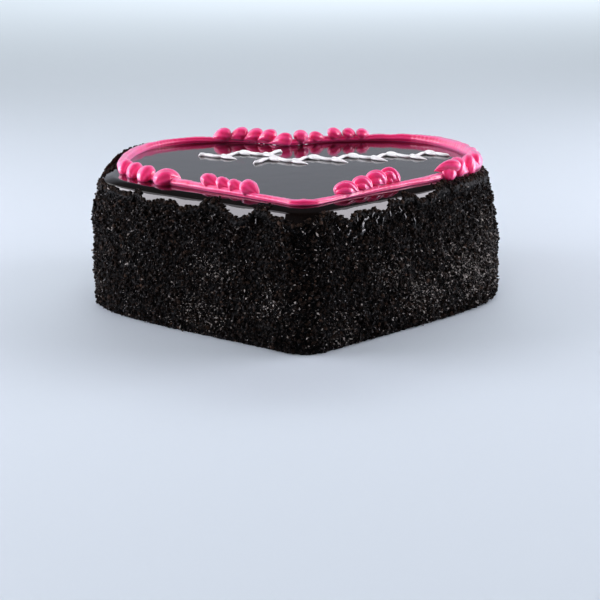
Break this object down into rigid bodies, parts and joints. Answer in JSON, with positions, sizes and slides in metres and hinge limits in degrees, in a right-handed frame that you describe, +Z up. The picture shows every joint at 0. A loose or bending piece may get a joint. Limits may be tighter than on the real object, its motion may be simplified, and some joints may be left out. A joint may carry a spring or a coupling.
{
  "type": "black forest cake",
  "caption": "Heart-shaped black forest cake: chocolate glaze over the top, dark chocolate crumbs round the side, a piped pink cream rope with shells, and silver-white piped vines.",
  "frame": {"origin": "middle of the underside, under the middle of the cake's outline", "axes": "+Z up out of the glazed top; -Y towards the tip of the heart; +Y towards the notch; X across the two lobes"},
  "size_m": [0.213, 0.218, 0.075],
  "materials": {
    "chocolate_crumb": "dry, rough dark chocolate cake crumbs",
    "chocolate_glaze": "mirror-like dark chocolate glaze",
    "pink_cream": "soft satin pink whipped cream",
    "silver_white_icing": "white icing with a faint silver sheen"
  },
  "bodies": {
    "root": {"cake_body": "chocolate_crumb", "chocolate_glaze": "chocolate_glaze", "cream_rope": "pink_cream", "shells_left_outer": "pink_cream", "shells_left_inner": "pink_cream", "shells_right_inner": "pink_cream", "shells_right_outer": "pink_cream", "shells_back_left": "pink_cream", "shells_back_right": "pink_cream", "ornament_upper": "silver_white_icing", "ornament_lower": "silver_white_icing"}
  },
  "joints": []
}
